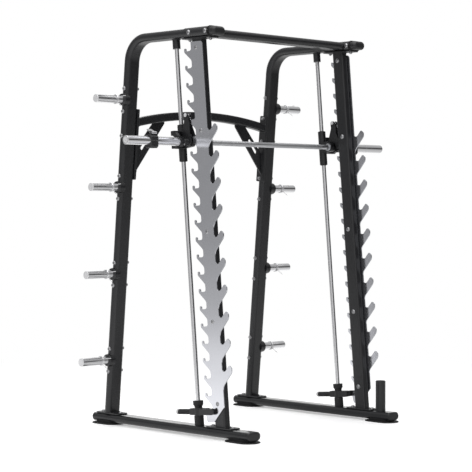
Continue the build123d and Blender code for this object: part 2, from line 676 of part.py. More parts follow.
def make_bar():
    bar = bar_axis_cyl(BAR_R, -CORE_END, CORE_END)
    for side in (-1, 1):
        bar = bar + bar_axis_cyl(HUB_SEAT_R, side * (HALF_W + 5.5), side * (HALF_W + 44))
    return bar


def make_bar_sleeve():
    tube = bar_axis_cyl(STUB_R, -HALF_W - 44.3, -HALF_W - 91)
    tube = tube + bar_axis_cyl(SLEEVE_R - 0.5, -HALF_W - 90.5, -HALF_W - 326)
    tube = tube + bar_axis_cyl(SLEEVE_R, -HALF_W - 326, -BAR_HALF)
    tube = tube - bar_axis_cyl(BAR_R, -HALF_W - 30, -CORE_END)
    return chamfer(tube.faces().sort_by(Axis.X)[0].edges(), 1.6)


# ---------------------------------------------------------------- latch levers
LATCH_R = 152.0           # bar axis to latch pin
PIN_T = 105.0             # latch pin at rest, clear of the notches
PIN_V = BAR_V + sqrt(LATCH_R ** 2 - (BAR_T - PIN_T) ** 2)
PIN_R = 8.0
SWUNG_ANGLE = 17.8        # lean of the lever towards the post, as its outlines are given
# cheeks in the swung position: t, v, fillet radius
OUTER_CHEEK = [(68, 1838, 12), (97, 1838, 12), (104, 1795, 20), (131, 1747, 30),
               (134, 1714, 14), (154, 1698, 14), (154, 1670, 16), (129, 1657, 14),
               (98, 1655, 14), (74, 1668, 14), (72, 1720, 20), (66, 1790, 18)]
INNER_CHEEK = [(68, 1838, 12), (97, 1838, 12), (101, 1798, 20), (133, 1742, 30),
               (157, 1701, 22), (157, 1663, 22), (128, 1655, 18), (106, 1660, 8),
               (103.5, 1690, 6), (98, 1709, 2.5), (90, 1690, 4), (86, 1664, 7),
               (57, 1663, 10), (50.5, 1688, 14), (62, 1712, 16), (72, 1760, 14),
               (66, 1790, 16)]


def turned_to_rest(corners):
    """Corners turned about the bar from the swung position back to rest."""
    angle = radians(SWUNG_ANGLE) - asin((BAR_T - PIN_T) / LATCH_R)
    out = []
    for t, v, radius in corners:
        dt, dv = t - BAR_T, v - BAR_V
        out.append((BAR_T + dt * cos(angle) + dv * sin(angle),
                    BAR_V - dt * sin(angle) + dv * cos(angle), radius))
    return out


def pin_cyl(x0, length, radius):
    return cyl((x0, PIN_T, PIN_V), X_DIR, length, radius)


def make_latch_lever():
    """Two cheeks, one each side of the rack plate, on a hub round the bar."""
    lever = side_plate(turned_to_rest(OUTER_CHEEK), -42, -36)
    lever = lever + side_plate(turned_to_rest(INNER_CHEEK), -17, -11)
    lever += bar_cyl(-44, 36, 24.0)
    lever -= bar_cyl(-100, 200, HUB_SEAT_R + 0.02)
    lever -= pin_cyl(-100, 200, PIN_R + 0.02)
    return FRONT * lever


def make_latch_pin():
    return FRONT * (pin_cyl(-46, 39, PIN_R) + pin_cyl(-46, 3.8, 11.0)
                    + pin_cyl(-10.8, 3.8, 11.0))


# ---------------------------------------------------------------- clamp collars on the sleeves
COLLAR_X_LEFT, COLLAR_X_RIGHT = 895.0, 815.0   # collar centre from the machine's middle
CAM_Y, CAM_Z, CAM_TILT = -14.0, 45.0, 26.0     # lever pivot from the bar's axis; flap tilt


def make_collar(x):
    """Block round the sleeve, split at the front, with two ears on top."""
    collar = block(-27, 27, -28, 28, -41, 33)
    collar = chamfer(collar.edges().filter_by(Axis.X), 11)
    collar = chamfer(collar.faces().filter_by(Axis.X).edges(), 2.2)
    left_ear = block(-24, -20.6, CAM_Y - 8, CAM_Y + 8, 28, CAM_Z + 8)
    right_ear = block(20.6, 24, CAM_Y - 8, CAM_Y + 8, 28, CAM_Z + 8)
    collar = collar + left_ear + right_ear
    collar -= cyl_x(SLEEVE_R + RUN, -40, 40, 0, 0)
    collar -= block(-40, 40, -40, -20, -1.5, 1.5)
    collar -= cyl_x(3.05, -40, 40, CAM_Y, CAM_Z)
    return Location((x, BAR_Y, BAR_Z)) * collar


def make_cam_lever(x):
    """Barrel and tilted flap on a pivot pin between the collar's ears."""
    barrel = cyl_x(7.5, -20.3, 20.3, 0, 0)
    flap = Location((0, 17.5, 0)) * Box(38, 53, 5)
    flap = fillet(flap.edges().filter_by(Axis.Z).group_by(Axis.Y)[-1], 8)
    tilt = Location((0, 0, 0), (CAM_TILT, 0, 0))
    lever = tilt * (barrel + flap) + cyl_x(3.0, -26.5, 26.5, 0, 0)
    return Location((x, BAR_Y + CAM_Y, BAR_Z + CAM_Z)) * lever


# ---------------------------------------------------------------- bar holder
def make_bar_holder():
    """Open upright cup near the front of the right floor tube."""
    y = -552.5
    cup = cyl((HALF_W, y, BASE_TOP), UP, 183, 30.0)
    cup = cup - cyl((HALF_W, y, BASE_TOP + 8), UP, 300, 26.0)
    return chamfer(cup.faces().sort_by(Axis.Z)[-1].edges(), 1.2)


# ---------------------------------------------------------------- write the parts
save_pair("base_tube", base_tube)
save("base_caps", *base_caps, *[mirror_x(cap) for cap in base_caps])
save_pair("foot_pads", *foot_pads)
save_pair("rear_upright", upright)
save_pair("front_post", post)
save_pair("rack_plate", rack_plate)
save_pair("top_cap", make_top_cap())
save_pair("guide_rod", guide_rod)
save_pair("rod_top_socket", top_socket)
save_pair("rod_bottom_socket", bottom_socket)
save_pair("stop_body", make_stop())
save_pair("stop_grip", make_stop_grip())
save_pair("stop_bumper", make_bumper())
save("top_crossbar", crossbar)
save("rear_brace", rear_brace)
save_pair("storage_horns", *horns)
save_pair("horn_bosses", *horn_bosses)
save("horn_caps", *horn_caps, *[mirror_x(cap) for cap in horn_caps])
for i, v in enumerate(HORN_V, start=1):
    save(f"left_spring_clip_{i}", make_clip(-CLIP_X_LEFT, v))
    save(f"right_spring_clip_{i}", mirror_x(make_clip(-CLIP_X_RIGHT, v)))
save("bar_shaft", make_bar())
save_pair("bar_sleeve", make_bar_sleeve())
save("left_clamp_collar", make_collar(-COLLAR_X_LEFT))
save("right_clamp_collar", mirror_x(make_collar(-COLLAR_X_RIGHT)))
save("left_clamp_lever", make_cam_lever(-COLLAR_X_LEFT))
save("right_clamp_lever", mirror_x(make_cam_lever(-COLLAR_X_RIGHT)))
save_pair("carriage", make_carriage())
save_pair("linear_bearings", *linear_bearings)
save_pair("bar_bearings", *bar_bearings)
save_pair("latch_lever", make_latch_lever())
save_pair("latch_pin", make_latch_pin())
save("frame_bolts", *fasteners, *[mirror_x(bolt) for bolt in fasteners])
save("bar_holder", make_bar_holder())
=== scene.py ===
"""Cable-free rack machine with a barbell carried on two guide rods, in metres.

+Z is up, the floor is z = 0 and the front faces -Y; side -1 is the left (-X), side 1 the right.
Each side frame stands in the plane x = side * HALF_W. Its front post leans back and its rear
upright leans forward. The CAD pieces are painted, and finer meshes replace or join some of them.
"""
import math

import bmesh
import bpy
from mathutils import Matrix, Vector


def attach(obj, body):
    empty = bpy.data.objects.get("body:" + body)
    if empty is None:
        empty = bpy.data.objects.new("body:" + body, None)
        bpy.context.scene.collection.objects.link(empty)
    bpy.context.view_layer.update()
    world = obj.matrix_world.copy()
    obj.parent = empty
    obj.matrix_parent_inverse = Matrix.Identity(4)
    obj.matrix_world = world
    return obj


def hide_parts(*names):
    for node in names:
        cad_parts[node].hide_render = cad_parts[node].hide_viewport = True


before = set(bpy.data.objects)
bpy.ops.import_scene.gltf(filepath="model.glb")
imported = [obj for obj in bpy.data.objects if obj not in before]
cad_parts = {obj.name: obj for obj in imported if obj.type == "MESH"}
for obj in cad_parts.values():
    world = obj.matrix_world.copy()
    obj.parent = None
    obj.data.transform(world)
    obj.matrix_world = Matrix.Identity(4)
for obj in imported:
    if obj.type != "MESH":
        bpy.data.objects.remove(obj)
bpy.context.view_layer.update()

# ------------------------------------------------------------------ layout
SIDES = ((-1, "left"), (1, "right"))
HALF_W = 0.604                                  # side frame's plane, from the centre
FRONT_LEAN, REAR_LEAN = math.radians(4.95), math.radians(5.0)
FRONT_SIN, FRONT_COS = math.sin(FRONT_LEAN), math.cos(FRONT_LEAN)
REAR_SIN, REAR_COS = math.sin(REAR_LEAN), math.cos(REAR_LEAN)
FRONT_Y, REAR_Y = -0.4153, 0.5347               # post and upright axes at floor level
FRONT_UP = Vector((0, FRONT_SIN, FRONT_COS))
FRONT_BACK = Vector((0, FRONT_COS, -FRONT_SIN))
BASE_TOP = 0.062
SLEEVE_Z, SLEEVE_HALF_H = 2.282, 0.025          # flat-oval sleeve on top of the post
POST_TOP_Z = SLEEVE_Z - SLEEVE_HALF_H - 0.0105
HORN_UP = [1.9347 - 0.516 * k for k in range(4)]  # storage horns, along the upright
ROD_BACK = 0.187                                # guide rod, behind the front post


def front_point(inward, back, up, side):
    """Point of the front leaning frame: inward from the side frame, then back and up."""
    return Vector((side * (HALF_W - inward),
                   FRONT_Y + back * FRONT_COS + up * FRONT_SIN,
                   -back * FRONT_SIN + up * FRONT_COS))


def rear_point(inward, back, up, side):
    """Point of the rear leaning frame."""
    return Vector((side * (HALF_W - inward),
                   REAR_Y + back * REAR_COS - up * REAR_SIN,
                   back * REAR_SIN + up * REAR_COS))


def post_y(z):
    return FRONT_Y + z * math.tan(FRONT_LEAN)


def upright_y(z):
    return REAR_Y - z * math.tan(REAR_LEAN)


BAR_CENTRE = front_point(HALF_W, 0.129, 1.684, 1)


# ------------------------------------------------------------------ shader graphs
def rgba(value):
    """Pads an RGB tuple to RGBA and passes a socket through."""
    return (*value, 1) if isinstance(value, tuple) else value


def shade(tone, factor, lift=0.0):
    return tuple(c * factor + lift for c in tone)


class Graph:
    """A small writer of shader node graphs."""

    def __init__(self, tree):
        self.tree = tree
        tree.nodes.clear()

    def feed(self, node, inputs):
        """Links sockets and sets plain values."""
        for key, value in inputs.items():
            socket = node.inputs[key]
            if isinstance(value, bpy.types.NodeSocket):
                self.tree.links.new(value, socket)
            else:
                socket.default_value = value

    def node(self, kind, inputs=None, **settings):
        node = self.tree.nodes.new(kind)
        for key, value in settings.items():
            setattr(node, key, value)
        self.feed(node, inputs or {})
        return node

    def math(self, operation, *values, clamp=False):
        return self.node("ShaderNodeMath", dict(enumerate(values)),
                         operation=operation, use_clamp=clamp).outputs[0]

    def add(self, a, b):
        return self.math("ADD", a, b)

    def sub(self, a, b, clamp=False):
        return self.math("SUBTRACT", a, b, clamp=clamp)

    def mul(self, a, by):
        return self.math("MULTIPLY", a, by)

    def above(self, a, level):
        return self.math("GREATER_THAN", a, level)

    def vector_math(self, operation, *values):
        return self.node("ShaderNodeVectorMath", dict(enumerate(values)),
                         operation=operation).outputs

    def dot(self, a, b):
        return self.vector_math("DOT_PRODUCT", a, b)["Value"]

    def fade(self, value, start, end, kind="SMOOTHSTEP", to=(0.0, 1.0)):
        inputs = {"Value": value, "From Min": start, "From Max": end,
                  "To Min": to[0], "To Max": to[1]}
        return self.node("ShaderNodeMapRange", inputs, interpolation_type=kind).outputs[0]

    def ramp(self, fac, stops, interp="LINEAR"):
        """Grey ramp; stops are (position, grey level)."""
        node = self.node("ShaderNodeValToRGB", {"Fac": fac})
        node.color_ramp.interpolation = interp
        elements = node.color_ramp.elements
        while len(elements) < len(stops):
            elements.new(0.5)
        for element, (position, grey) in zip(elements, stops):
            element.position = position
            element.color = (grey, grey, grey, 1)
        return node.outputs["Color"]

    def mix(self, fac, a, b):
        return self.node("ShaderNodeMix", {0: fac, 6: rgba(a), 7: rgba(b)},
                         data_type="RGBA", blend_type="MIX").outputs[2]

    def noise(self, vector, scale, detail=2.0, rough=0.5, distortion=0.0):
        inputs = {"Vector": vector, "Scale": scale, "Detail": detail,
                  "Roughness": rough, "Distortion": distortion}
        return self.node("ShaderNodeTexNoise", inputs).outputs["Fac"]

    def cells(self, vector, scale):
        inputs = {"Vector": vector, "Scale": scale}
        return self.node("ShaderNodeTexVoronoi", inputs).outputs["Distance"]

    def bump(self, height, strength, distance, normal=None):
        inputs = {"Height": height, "Strength": strength, "Distance": distance}
        if normal is not None:
            inputs["Normal"] = normal
        return self.node("ShaderNodeBump", inputs).outputs["Normal"]

    def stretch(self, vector, scale):
        inputs = {"Vector": vector, "Scale": scale}
        return self.node("ShaderNodeMapping", inputs).outputs["Vector"]

    def geometry(self, output):
        return self.node("ShaderNodeNewGeometry").outputs[output]

    def edges(self, radius):
        """Mask, 0 on flats and 1 along outer edges, and the rounded normal it comes from."""
        true_normal = self.geometry("Normal")
        rounded = self.node("ShaderNodeBevel", {"Radius": radius}, samples=4).outputs[0]
        away = self.sub(1.0, self.dot(true_normal, rounded))
        return self.fade(away, start=0.0015, end=0.05, kind="LINEAR"), rounded


# ------------------------------------------------------------------ materials
MATS = {}


def material(name, slot):
    """New material; returns its graph, its Principled shader and the object coordinates."""
    mat = bpy.data.materials.new(name)
    mat.use_nodes = True
    mat["slot"] = slot
    MATS[name] = mat
    g = Graph(mat.node_tree)
    shader = g.node("ShaderNodeBsdfPrincipled")
    g.node("ShaderNodeOutputMaterial", {"Surface": shader.outputs[0]})
    return g, shader, g.node("ShaderNodeTexCoord").outputs["Object"]


def matte_rim(g, level, loss=0.88):
    """Specular level that falls away at grazing angles, as a textured coat does."""
    facing = g.node("ShaderNodeLayerWeight", {"Blend": 0.5}).outputs["Facing"]
    return g.mul(level, g.sub(1.0, g.mul(g.math("POWER", facing, 4.0), by=loss)))


def powder(name, tone, rough, glare=0.0):
    """Textured powder coat; glare adds a clear coat on faces that look up."""
    g, shader, coords = material(name, "frame_black")
    patches = g.noise(coords, scale=5.0, detail=3.0)
    grain = g.noise(coords, scale=900.0)
    specks = g.noise(coords, scale=2600.0, detail=1.0)
    edge, rounded = g.edges(radius=0.0016)
    scuffs = g.above(g.noise(coords, scale=55.0, detail=6.0, rough=0.7), level=0.66)
    # patchy coat, then edges lightened as a painted highlight and as wear, then pale specks
    base = g.mix(patches, shade(tone, 0.82), shade(tone, 1.18))
    # painted highlight: every edge is lightened a little; scuffed stretches, as wear, more
    wear_and_edge_highlight = g.mul(edge, g.add(g.mul(scuffs, by=0.12), 0.05))
    base = g.mix(wear_and_edge_highlight, base, shade(tone, 3.2, lift=0.02))
    base = g.mix(g.mul(g.above(specks, level=0.70), by=0.10), base, shade(tone, 2.4))
    # the noises average 0.5, so the roughness starts a little below its mean
    roughness = g.add(rough - 0.06, g.mul(grain, by=0.10))
    roughness = g.add(roughness, g.mul(patches, by=0.05))
    normal = g.bump(grain, strength=0.22, distance=0.0004, normal=rounded)
    ripple = g.noise(coords, scale=260.0, detail=1.0)
    normal = g.bump(ripple, strength=0.10, distance=0.0006, normal=normal)
    g.feed(shader, {"Base Color": base, "Roughness": roughness, "Normal": normal,
                    "Specular IOR Level": matte_rim(g, level=0.5)})
    if glare:
        # flat tops near the floor catch the horizon at a low angle
        normal_z = g.node("ShaderNodeSeparateXYZ", {"Vector": g.geometry("Normal")}).outputs[2]
        upward = g.fade(normal_z, start=0.86, end=0.99)
        g.feed(shader, {"Coat Weight": g.mul(upward, by=glare), "Coat Roughness": 0.12,
                        "Coat IOR": 1.75})


def rubber(name, tone, rough):
    """Dusty moulded rubber."""
    g, shader, coords = material(name, "rubber_black")
    patches = g.noise(coords, scale=14.0, detail=3.0)
    grain = g.noise(coords, scale=1500.0, detail=3.0, rough=0.6)
    pebbles = g.cells(coords, scale=700.0)
    edge, rounded = g.edges(radius=0.0015)
    dust = g.above(g.noise(coords, scale=90.0, detail=8.0, rough=0.75), level=0.60)
    base = g.mix(patches, shade(tone, 0.8), shade(tone, 1.25))
    base = g.mix(g.mul(dust, by=0.07), base, (0.10, 0.098, 0.095))
    base = g.mix(g.mul(edge, by=0.20), base, (0.09, 0.09, 0.09))
    normal = g.bump(pebbles, strength=0.25, distance=0.0003, normal=rounded)
    normal = g.bump(grain, strength=0.25, distance=0.0002, normal=normal)
    g.feed(shader, {"Base Color": base, "Normal": normal,
                    "Roughness": g.add(rough - 0.05, g.mul(patches, by=0.12)),
                    "Specular IOR Level": 0.30, "Sheen Weight": 0.03, "Sheen Roughness": 0.5})


def plastic(name, tone, rough):
    """Finely pebbled moulded plastic."""
    g, shader, coords = material(name, "plastic_black")
    pebbles = g.cells(coords, scale=1100.0)
    patches = g.noise(coords, scale=11.0, detail=3.0)
    edge, rounded = g.edges(radius=0.0012)
    base = g.mix(patches, shade(tone, 0.85), shade(tone, 1.2))
    base = g.mix(g.mul(edge, by=0.22), base, shade(tone, 3, lift=0.02))
    smears = g.noise(coords, scale=70.0, detail=3.0)
    g.feed(shader, {"Base Color": base,
                    "Roughness": g.add(rough - 0.04, g.mul(smears, by=0.12)),
                    "Normal": g.bump(pebbles, strength=0.20, distance=0.00025, normal=rounded)})


def metal(name, slot, tone, rough, grain=None, grain_amt=0.06, aniso=0.0, tint=0.06,
          scratch=0.5, smudge=0.06, relief=0.02, edged=False, metallic=1.0):
    """Bare or plated metal.

    grain is the stretch of its brushing: large numbers cross the grain. grain_amt, smudge and
    scratch vary the roughness, tint the colour; relief is the bump; edged brightens the edges.
    """
    g, shader, coords = material(name, slot)
    if grain:
        lines = g.noise(g.stretch(coords, grain), scale=1.0, detail=3.0, rough=0.65)
    else:
        lines = g.noise(coords, scale=420.0, detail=3.0, rough=0.65)
    patches = g.noise(coords, scale=4.5, detail=4.0, rough=0.6)
    smudges = g.noise(coords, scale=18.0, detail=5.0, rough=0.7)
    hair = g.noise(g.stretch(coords, (150.0, 800.0, 40.0)), scale=1.0, detail=4.0,
                   distortion=0.6)
    hairs = g.mul(g.above(hair, level=0.70), by=scratch)
    base = g.mix(lines, shade(tone, 1 - tint), shade(tone, 1 + tint))
    dull = g.mul(g.sub(patches, 0.35, clamp=True), by=0.25)
    base = g.mix(dull, base, shade(tone, 0.86))
    rounded = None
    if edged:
        edge, rounded = g.edges(radius=0.0010)
        base = g.mix(g.mul(edge, by=0.35), base, shade(tone, 1.25))
    # brushing varies the roughness both ways; smudges and hairline scratches only raise it
    roughness = g.add(rough, g.mul(g.sub(lines, 0.5), by=grain_amt * 2))
    smear = g.mul(g.sub(smudges, 0.45, clamp=True), by=smudge * 2)
    roughness = g.add(roughness, smear)
    roughness = g.add(roughness, g.mul(hairs, by=0.08))
    g.feed(shader, {"Base Color": base, "Metallic": metallic, "Anisotropic": aniso,
                    "Roughness": g.math("MAXIMUM", roughness, 0.03),
                    "Normal": g.bump(lines, relief, distance=0.0001, normal=rounded)})


BLACK = (0.0096, 0.0098, 0.0111)
powder("frame_powder", BLACK, rough=0.27)
powder("base_powder", BLACK, rough=0.27, glare=1.0)
powder("guide_powder", (0.0072, 0.0073, 0.0084), rough=0.32)
metal("rack_brushed", "rack_steel", tone=(0.674, 0.681, 0.720), rough=0.15,
      grain=(900.0, 900.0, 14.0), grain_amt=0.03, aniso=0.2, scratch=0.4, edged=True)
metal("chrome_rod", "chrome", tone=(0.66, 0.66, 0.675), rough=0.18, grain=(300.0, 300.0, 9.0),
      grain_amt=0.015, tint=0.015, scratch=0.2, smudge=0.03, relief=0.004)
metal("chrome_turned", "chrome", tone=(0.76, 0.76, 0.775), rough=0.16, grain=(500.0, 40.0, 40.0),
      grain_amt=0.02, tint=0.02, scratch=0.2, smudge=0.03, relief=0.004)
metal("chrome_wire", "chrome", tone=(0.78, 0.78, 0.79), rough=0.15,
      grain_amt=0.03, tint=0.04, relief=0.004)
metal("bar_satin", "bar_steel", tone=(0.56, 0.565, 0.58), rough=0.30, grain=(500.0, 60.0, 60.0),
      grain_amt=0.04, aniso=0.2, relief=0.008)
metal("bar_knurled", "bar_steel", tone=(0.52, 0.525, 0.54), rough=0.36, tint=0.08)
metal("cap_satin", "chrome", tone=(0.60, 0.60, 0.61), rough=0.30,
      grain_amt=0.04, tint=0.03, relief=0.004, metallic=0.45)
metal("zinc_bolt", "bolt_zinc", tone=(0.42, 0.42, 0.43), rough=0.28,
      grain_amt=0.08, tint=0.10, relief=0.01)
metal("zinc_bright", "bolt_zinc", tone=(0.62, 0.62, 0.63), rough=0.26,
      grain_amt=0.08, tint=0.08, relief=0.01)
metal("bearing_ground", "bearing_steel", tone=(0.55, 0.56, 0.58), rough=0.22,
      grain=(60.0, 60.0, 1300.0), grain_amt=0.05, relief=0.01)
rubber("rubber_foot", (0.0075, 0.0075, 0.0080), rough=0.78)
# painted shade: near-black stand-in for the shaded gap between the top sleeve and its cap
rubber("gap_shade_black", (0.0012, 0.0012, 0.0013), rough=0.85)
rubber("rubber_bumper", (0.016, 0.016, 0.017), rough=0.70)
rubber("rubber_tip", (0.46, 0.46, 0.46), rough=0.6)
plastic("cap_plastic", (0.0075, 0.0077, 0.0086), rough=0.40)
plastic("clamp_plastic", (0.011, 0.0112, 0.0125), rough=0.36)

# material: CAD nodes that come once per side, named left_... and right_...
SIDE_LOOKS = {
    "frame_powder": ("rear_upright", "front_post", "horn_bosses", "rod_top_socket"),
    "base_powder": ("base_tube",),
    "guide_powder": ("carriage", "stop_body", "latch_lever"),
    "rack_brushed": ("rack_plate",),
    "chrome_rod": ("guide_rod",),
    "chrome_turned": ("storage_horns", "bar_sleeve"),
    "chrome_wire": tuple(f"spring_clip_{i}" for i in range(1, 5)),
    "cap_satin": ("latch_pin",),
    "bearing_ground": ("linear_bearings", "bar_bearings"),
    "zinc_bright": ("clamp_lever",),
    "clamp_plastic": ("clamp_collar",),
    "cap_plastic": ("top_cap",),
    "rubber_foot": ("foot_pads",),
    "rubber_bumper": ("rod_bottom_socket", "stop_grip", "stop_bumper"),
}
# CAD node: material, for the nodes that come once
LOOK = {
    "rear_brace": "frame_powder", "top_crossbar": "frame_powder", "bar_holder": "frame_powder",
    "horn_caps": "cap_satin", "base_caps": "cap_plastic", "frame_bolts": "zinc_bolt",
    "bar_shaft": "bar_satin",
}
for look, parts in SIDE_LOOKS.items():
    for _, side_name in SIDES:
        for part in parts:
            LOOK[f"{side_name}_{part}"] = look


def paint(obj, look):
    obj.data.materials.clear()
    obj.data.materials.append(MATS[look])


for node_name, cad_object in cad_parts.items():
    paint(cad_object, LOOK[node_name])


# ------------------------------------------------------------------ mesh helpers
def piece(name, bm, look, body, node=None, smooth=True):
    """Turns bm into an object riding on body, in place of the CAD node if one is given."""
    bmesh.ops.recalc_face_normals(bm, faces=bm.faces)
    mesh = bpy.data.meshes.new(name)
    bm.to_mesh(mesh)
    bm.free()
    obj = bpy.data.objects.new(name, mesh)
    bpy.context.scene.collection.objects.link(obj)
    if smooth:
        for polygon in mesh.polygons:
            polygon.use_smooth = True
        mesh.set_sharp_from_angle(angle=math.radians(38))
    paint(obj, look)
    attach(obj, body)
    if node:
        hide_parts(node)


def square_to(axis):
    """A unit vector square to the unit axis, as near as can be to Z, or to X if axis is steep."""
    up = Vector((0, 0, 1)) if abs(axis.z) < 0.9 else Vector((1, 0, 0))
    return (up - up.dot(axis) * axis).normalized()


def ring(bm, centre, axis, u, radius, segs, hexed=False, cap=math.inf):
    """Ring of vertices; hexed makes a hexagon of that half width, its corners cut at cap."""
    w = axis.cross(u)
    verts = []
    for k in range(segs):
        a = 2 * math.pi * k / segs
        reach = radius
        if hexed:
            reach = min(radius / math.cos((a % (math.pi / 3)) - math.pi / 6), cap)
        verts.append(bm.verts.new(centre + reach * (math.cos(a) * u + math.sin(a) * w)))
    return verts


def bridge(bm, a, b):
    for k in range(len(a)):
        j = (k + 1) % len(a)
        bm.faces.new((a[k], a[j], b[j], b[k]))


def capped(bm, rings):
    """Skin over the rings, closed at both ends."""
    for a, b in zip(rings, rings[1:]):
        bridge(bm, a, b)
    bm.faces.new(rings[-1])
    bm.faces.new(rings[0][::-1])


def wire(bm, points, radii, segs, closed=False):
    """Round wire through the points, with one radius per point."""
    n = len(points)
    tangents = []
    for i in range(n):
        before = points[(i - 1) % n] if (closed or i > 0) else points[i]
        after = points[(i + 1) % n] if (closed or i < n - 1) else points[i]
        tangents.append((after - before).normalized())
    u = square_to(tangents[0])
    rings = []
    for point, tangent, radius in zip(points, tangents, radii):
        u = (u - u.dot(tangent) * tangent).normalized()
        rings.append(ring(bm, point, tangent, u, radius, segs))
    for a, b in zip(rings, rings[1:]):
        bridge(bm, a, b)
    if closed:
        # turn the first ring to meet the last without a twist
        a, b = rings[-1], rings[0]
        turn = min(range(segs), key=lambda q: (a[0].co - b[q].co).length)
        bridge(bm, a, b[turn:] + b[:turn])
    else:
        bm.faces.new(rings[0][::-1])
        bm.faces.new(rings[-1])


def lathe(bm, origin, axis, profile, segs):
    """Turned piece; profile is [(distance along the axis, radius)].

    A profile that starts and ends at radius 0 makes a solid; any other closes into a ring.
    """
    origin, axis = Vector(origin), Vector(axis).normalized()
    u = square_to(axis)
    rings = []
    for along, radius in profile:
        centre = origin + axis * along
        if radius == 0:
            rings.append([bm.verts.new(centre)])
        else:
            rings.append(ring(bm, centre, axis, u, radius, segs))
    pairs = list(zip(rings, rings[1:]))
    if profile[0][1] > 0:
        pairs.append((rings[-1], rings[0]))
    for a, b in pairs:
        if len(a) == len(b):
            bridge(bm, a, b)
            continue
        for k in range(segs):
            j = (k + 1) % segs
            if len(a) == 1:
                bm.faces.new((a[0], b[k], b[j]))
            else:
                bm.faces.new((a[k], a[j], b[0]))


# ------------------------------------------------------------------ bolts and nuts
FASTENER_SEGS = 36
# dome of a button head: share of its height, share of its radius
HEAD_PROFILE = ((0, 1), (0.22, 1), (0.45, 0.955), (0.70, 0.86), (0.88, 0.74), (1, 0.66))


def button(bm, at, facing, radius, height):
    """Button-head bolt with a hexagon socket, on a washer at the point."""
    at, axis = Vector(at), Vector(facing).normalized()
    u = square_to(axis)
    washer = min(0.0016, height * 0.25)
    lathe(bm, at, axis, [(-0.0004, 0.002), (-0.0004, radius * 1.12), (washer * 0.8, radius * 1.12),
                         (washer, radius * 1.09), (washer, 0.002)], FASTENER_SEGS)
    foot = washer * 0.9
    head = radius * 0.97
    socket = radius * 0.52                      # half the width across flats
    rings = [ring(bm, at + axis * (foot + (height - foot) * rise), axis, u, head * share,
                  FASTENER_SEGS) for rise, share in HEAD_PROFILE]
    rings += [ring(bm, at + axis * along, axis, u, half, FASTENER_SEGS, hexed=True)
              for along, half in ((height, socket), (height * 0.45, socket * 0.985))]
    capped(bm, rings)


def nut(bm, at, facing, across_flats, height, stub):
    """Flanged hexagon nut with chamfered corners and a stub of the bolt's end showing."""
    at, axis = Vector(at), Vector(facing).normalized()
    u = square_to(axis)
    half = across_flats / 2
    lathe(bm, at, axis, [(-0.0004, 0.002), (-0.0004, across_flats * 0.60),
                         (0.0014, across_flats * 0.60), (0.0022, across_flats * 0.52),
                         (0.0022, 0.002)], FASTENER_SEGS)
    # along the axis, limit on the corners as a share of the half width
    stations = ((0.0012, 1.2), (height - 0.0012, 1.2), (height, 1.02), (height, 0.70))
    capped(bm, [ring(bm, at + axis * along, axis, u, half, FASTENER_SEGS, hexed=True,
                     cap=half * limit) for along, limit in stations])
    lathe(bm, at, axis, [(height - 0.002, 0.0), (height - 0.002, 0.0058),
                         (height + stub - 0.001, 0.0058), (height + stub, 0.0046),
                         (height + stub, 0.0)], 24)


POST_BOLTS_UP = (2.205, 1.735, 1.164, 0.658, 0.199)
UPRIGHT_BOLTS_UP = [horn + q for horn in HORN_UP for q in (0.067, -0.067)] + [1.7235]
END_PLATE_UP = (1.4655, 1.885)                  # span of the brace's end plate on the upright


def frame_bolts():
    bm = bmesh.new()
    for side, _ in SIDES:
        inward, outward = (-side, 0, 0), (side, 0, 0)
        for up in POST_BOLTS_UP:
            button(bm, front_point(0.025, 0, up, side), inward, 0.0125, 0.007)
            button(bm, front_point(-0.031, 0, up, side), outward, 0.011, 0.0045)
        for y in (-0.188, -0.321):
            button(bm, (side * 0.6575, y, SLEEVE_Z), outward, 0.0125, 0.007)
            button(bm, (side * 0.5505, y, SLEEVE_Z), inward, 0.0125, 0.007)
        for y in (-0.146, -0.312):
            nut(bm, (side * HALF_W, y, POST_TOP_Z), (0, 0, -1), 0.017, 0.009, 0.003)
        for y in (post_y(BASE_TOP), upright_y(BASE_TOP)):
            for q in (-0.076, 0.076):
                button(bm, (side * HALF_W, y + q, BASE_TOP + 0.007), (0, 0, 1), 0.012, 0.008)
        for up in UPRIGHT_BOLTS_UP:
            inner = 0.060 if END_PLATE_UP[0] < up < END_PLATE_UP[1] else 0.050
            button(bm, rear_point(-0.0500, 0, up, side), outward, 0.012, 0.0075)
            nut(bm, rear_point(inner, 0, up, side), inward, 0.019, 0.009, 0.0038)
    piece("frame_bolts_detailed", bm, "zinc_bolt", "frame", "frame_bolts")


frame_bolts()

# ------------------------------------------------------------------ spring clips on the horns
CLIP_OUT = {"left": 0.112, "right": 0.141}      # outward from the upright's axis
COIL_R, WIRE_R = 0.02635, 0.0021
COIL_HALF_LENGTH = 0.0049
COIL_START, COIL_END = math.radians(180 - 38), math.radians(180 + 38 + 720)
COIL_STEPS = 150
# tips of the two finger legs: inward, back and up from the coil's centre
LEG_START = Vector((COIL_HALF_LENGTH, -0.082, 0.027))
LEG_END = Vector((-COIL_HALF_LENGTH, -0.066, -0.037))


def clip_path():
    """Leg, wound coil, leg, about the coil's centre."""
    coil = []
    for i in range(COIL_STEPS + 1):
        a = COIL_START + (COIL_END - COIL_START) * i / COIL_STEPS
        coil.append(Vector((COIL_HALF_LENGTH - 2 * COIL_HALF_LENGTH * i / COIL_STEPS,
                            COIL_R * math.cos(a), COIL_R * math.sin(a))))
    leg_in = [LEG_START.lerp(coil[0], i / 9.0) for i in range(9)]
    leg_out = [coil[-1].lerp(LEG_END, i / 8.0) for i in range(1, 9)]
    return leg_in + coil + leg_out


